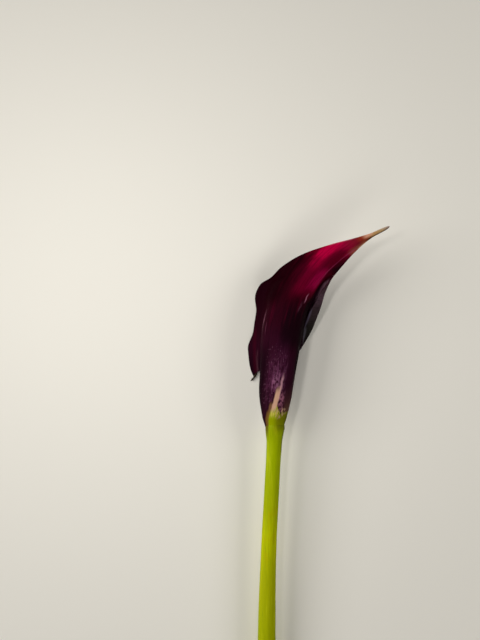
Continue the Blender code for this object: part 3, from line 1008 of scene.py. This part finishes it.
f.lay((100, 100, 4), 0.8, stem_turn=(0.32, 0.20), climb=(0.97, 1))
f.lay((92, 94, 8), 0.6, stem_turn=(0.13, 0.06), climb=(0.90, 0.94))
print("stem coats:", f.coats)

# %% The cut face, and the stem's touch
cut_share = f.number("cut")
dots = f.noise(f.stretched((1500.0, 300.0, 1500.0)), detail=1.0)
f.lay((120, 136, 20), f.rise(cut_share, 0.2, 0.5))
f.lay((206, 212, 138), f.rise(cut_share, 0.6, 0.95))
f.lay((146, 158, 66), 0.7, f.rise(cut_share, 0.6, 0.9), f.rise(dots, 0.56, 0.66))
f.surface("Base Color", f.coat)
f.surface("Roughness", f.plus(0.30, f.times(fibres, 0.22)))
f.relief(f.plus(fibres, f.times(dots, 0.3)), 0.1 * MM, 0.6)
print("the stem's finish has", len(f.tree.nodes), "nodes")

# %% Set the stem down
SKIN_RING = [0.8, 0.6, 0.3]

stem_piece = new_piece("round_stem", stem_points, pipe_faces(stem_points), f)
add_map(stem_piece, "stem", turns_round(stem_points), stem_points[:, :, 1])
on_cut = np.zeros((len(stem_points), STEM_SIDES))
on_cut[: len(cut)] = 1.0
on_cut[len(cut) - len(SKIN_RING) : len(cut)] = np.array(SKIN_RING)[:, None]
add_number(stem_piece, "cut", on_cut)
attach(stem_piece, "root")
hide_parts("stem")

# %% [markdown]
# ## The dried point of the lobe
#
# A spathe often dries first at the corner of a lobe, where the margin curls
# into a thin dark thread. The sheet would need very fine rows for it, so it is
# a small tapered pipe of its own, with its root inside the margin.

# %% Rings of the dried point
POINT_ROUTE = [
    (-10.3, 27, -13), (-10.7, 25.9, -13.3), (-11.4, 24.7, -13.3),
    (-12.3, 23.6, -13.3), (-13.2, 22.7, -13.2),
]
POINT_RADII = [0.5, 0.55, 0.5, 0.42, 0.2]
POINT_LENGTH = 6.0
POINT_RINGS = 40
POINT_SIDES = 12
KNOBS = 0.12
KNOBS_APART = 19.0

share = np.linspace(0.0, 1.0, POINT_RINGS)
middles, ahead = batten(POINT_ROUTE, share)
radii = between(np.linspace(0.0, 1.0, len(POINT_RADII)), POINT_RADII, share)
radii = radii * (1.0 + KNOBS * np.sin(KNOBS_APART * share))
around = around_axis(ahead[:, None], np.arange(POINT_SIDES)[None] / POINT_SIDES)
point_rings = middles[:, None] + radii[:, None, None] * around
print("dried point: lowest at", (laid(point_rings)[..., 2].min() / MM).round(2), "mm")

# %% Dry brown, and set the dried point down
f = Finish("dried_brown", 0.1)
point_turn, point_walk = f.map_of("span")
bands = f.noise(f.spot(point_turn, point_walk, 0.8, 1.4))
f.surface("Base Color", f.steps(bands, [(0.3, (22, 18, 10)), (0.7, (66, 54, 32))]))
f.surface("Roughness", f.plus(0.5, f.times(bands, 0.4)))
f.relief(bands, 0.1 * MM)
point_piece = new_piece("dried_lobe_point", point_rings, pipe_faces(point_rings), f)
walked = np.repeat(POINT_LENGTH * share[:, None], POINT_SIDES, axis=1)
add_map(point_piece, "span", turns_round(point_rings), walked)
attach(point_piece, "root")
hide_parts("spathe")

# %% [markdown]
# ## The spadix
#
# Inside the tube stands the true flower: a finger packed with florets, set in
# crossing spirals like the scales of a cone. Hundreds of small meshes could
# stand for them, but they sit so close that one tapered surface is enough, on
# which every point asks how far the nearest floret's middle is.

# %% Raise the florets of the spadix
SPADIX_LENGTH = 38.0
SPADIX_RADIUS = 3.2
TIP_NARROW = 0.62
CROWN_STARTS = 0.93
FOOT_NARROW = 0.85
SPADIX_FOOT = np.array([0.1, SEAT_LENGTH + 0.3, 0.1])
SPADIX_END = np.array([1.6, 44.0, -0.4])
FLORETS_ROUND = 13
FLORET_ROWS = 34
FLORET_HEIGHT = 0.3
FLORET_STRETCH = (1.9, 1.15)
FLORETS_END = 0.99
FADE_SHARE = 0.05
GROOVE = 0.45
ROW_TWIST = 0.06
SPADIX_SIDES = 156
SPADIX_RINGS = 240


def floret_swell(turn, climb):
    """1 at a floret's middle and 0 between florets, for turns and rows."""
    row = np.floor(climb)
    best = 9.0
    for shift in (-1, 0, 1):
        middle_row = row + shift + 0.5
        twist = 0.5 * np.mod(row + shift, 2) + ROW_TWIST * (row + shift)
        offset = turn * FLORETS_ROUND - twist
        aside = (offset - np.round(offset)) * FLORET_STRETCH[0]
        best = np.minimum(best, np.hypot(aside, (climb - middle_row) * FLORET_STRETCH[1]))
    return np.sqrt(np.clip(1.0 - best**2, 0.0, 1.0))


axis = SPADIX_END - SPADIX_FOOT
axis /= np.linalg.norm(axis)
rise = np.sin(0.5 * math.pi * np.linspace(0.02, 1.0, SPADIX_RINGS) ** 0.9)[:, None]
turn = np.arange(SPADIX_SIDES)[None, :] / SPADIX_SIDES
taper = 1.0 - (1.0 - TIP_NARROW) * rise**2
in_crown = np.clip((rise - CROWN_STARTS) / (1.0 - CROWN_STARTS), 0.0, 1.0)
crown = np.sqrt(np.clip(1.0 - in_crown**2, 0.0004, 1.0))
foot_share = FOOT_NARROW + (1.0 - FOOT_NARROW) * np.clip(rise / FADE_SHARE, 0.0, 1.0)
swell = floret_swell(turn, rise * FLORET_ROWS)
fade = np.clip((FLORETS_END - rise) / FADE_SHARE, 0.0, 1.0)
radius = SPADIX_RADIUS * taper * crown * foot_share
radius = radius + FLORET_HEIGHT * (swell - GROOVE) * fade * crown
middles = SPADIX_FOOT + (rise * SPADIX_LENGTH)[..., None] * axis
spadix_points = middles + radius[..., None] * around_axis(axis, turn)
print("spadix:", FLORETS_ROUND, "florets round and", FLORET_ROWS, "rows")

# %% [markdown]
# ## Gold with pollen
#
# The florets are golden where they stand out and brown-orange in the grooves,
# and loose pollen lies on top as a pale dust. The florets' height is known for
# each point, so it drives the colour directly.

# %% Gold on the florets and set the spadix down
f = Finish("spadix_gold", 0.2)
raised = f.number("swell")
dust = f.noise(f.stretched((2600.0, 2600.0, 2600.0)), roughness=0.6)
f.coat = f.steps(raised, [(0.0, (126, 70, 12)), (0.35, (206, 138, 24)), (1.0, (238, 182, 58))])
f.lay((250, 222, 136), 0.6, f.rise(dust, 0.52, 0.68), f.rise(raised, 0.2, 0.8))
f.surface("Base Color", f.coat)
f.surface("Roughness", f.plus(0.62, f.times(dust, 0.3)))
f.relief(dust, 0.12 * MM, 0.8)
spadix_piece = new_piece("golden_spadix", spadix_points, pipe_faces(spadix_points), f)
add_number(spadix_piece, "swell", swell)
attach(spadix_piece, "root")
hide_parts("spadix")

# %% [markdown]
# ## Table, light and camera
#
# The flower lies on a plain pale table that runs on to the horizon, in the
# light of a soft studio. A large soft lamp on the left leaves the stem dark on
# its right. A weak one on the right keeps the right edges from going black,
# one low on the left runs along the petals, and one near the cut end lights
# the foot. A wide soft spot makes the table brightest round the bloom. The
# camera looks straight down on the flower's front with a long lens, which
# keeps the petals' proportions.

# %% A pale table
TABLE_COLOUR = (242, 237, 225)
TABLE_REACH = 6.0

f = Finish("pale_table", 0.1)
f.surface("Base Color", paint(*TABLE_COLOUR))
f.surface("Roughness", 0.9)
table_mesh = bpy.data.meshes.new("pale_table")
corners = [(x * TABLE_REACH, y * TABLE_REACH, 0.0) for x, y in ((-1, -1), (1, -1), (1, 1), (-1, 1))]
table_mesh.from_pydata(corners, [], [(0, 1, 2, 3)])
table_mesh.materials.append(f.material)
pale_table = put("pale_table", table_mesh)
pale_table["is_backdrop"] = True
print("the table reaches", TABLE_REACH, "m each way")

# %% Soft lamps and a dim room
BLOOM = Vector(laid([(10.0, 55.0, 6.0)])[0])
POOL_MIDDLE = Vector(laid([(-92.0, 85.0, -12.0)])[0])
POOL_ANGLE = 17.5
POOL_POWER = 22.5
ROOM_COLOUR = (0.9, 0.9, 0.88, 1.0)
ROOM_STRENGTH = 0.04


def hang_lamp(lamp, power, away, aim):
    """Place a lamp at some distance from the bloom and turn it to its aim."""
    lamp.energy = power
    holder = put(lamp.name, lamp)
    holder.location = BLOOM + Vector(away)
    holder.rotation_euler = (aim - holder.location).to_track_quat("-Z", "Y").to_euler()


def soft_lamp(name, away, size, power):
    """A square lamp facing the bloom."""
    lamp = bpy.data.lights.new(name, "AREA")
    lamp.shape = "SQUARE"
    lamp.size = size
    hang_lamp(lamp, power, away, BLOOM)


soft_lamp("left_softbox", (-1.3, 0.3, 0.9), 1.0, 15.5)
soft_lamp("right_fill", (0.5, 0.1, 0.4), 0.3, 1.3)
soft_lamp("low_left_fill", (-0.8, 0.0, 0.25), 0.4, 1.0)
soft_lamp("near_fill", (-0.05, -0.5, 0.5), 0.3, 0.85)
pool = bpy.data.lights.new("wide_soft_spot", "SPOT")
pool.spot_size = math.radians(POOL_ANGLE)
pool.spot_blend = 1.0
pool.shadow_soft_size = 0.12
hang_lamp(pool, POOL_POWER, (-0.45, 0.05, 1.2), POOL_MIDDLE)
room = bpy.data.worlds.new("dim_room")
room.use_nodes = True
walls = room.node_tree.nodes["Background"]
walls.inputs["Color"].default_value = ROOM_COLOUR
walls.inputs["Strength"].default_value = ROOM_STRENGTH
bpy.context.scene.world = room
bpy.context.scene.view_settings.view_transform = "Standard"

# %% The camera over the flower
SEEN_HEIGHT = 336.0
SEEN_MIDDLE = (-18.9, 55.1)
CAMERA_HEIGHT = 1200.0
SENSOR = 36.0

lens = bpy.data.cameras.new("long_lens")
lens.sensor_width = SENSOR
lens.lens = SENSOR * CAMERA_HEIGHT / SEEN_HEIGHT
lens.clip_start = 0.05
lens.clip_end = 50.0
camera = put("long_lens", lens)
camera_place = Vector(laid([(*SEEN_MIDDLE, CAMERA_HEIGHT)])[0])
camera.matrix_world = Matrix.Translation(camera_place) @ LEAN.to_4x4()
bpy.context.scene.camera = camera
print("lens", round(lens.lens, 1), "mm at", camera_place[:])

# %% [markdown]
# ## Measure and finish
#
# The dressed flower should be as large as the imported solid, so both boxes are
# written down side by side.

# %% Compare the boxes and finish
bpy.context.view_layer.update()
dressed_low, dressed_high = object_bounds()
boxes = {
    "solid": [list(solid_low), list(solid_high)],
    "dressed": [list(dressed_low), list(dressed_high)],
}
for corner, values in zip(("low", "high"), zip(boxes["solid"], boxes["dressed"])):
    print(corner, [[round(v * 1000, 2) for v in box] for box in values])
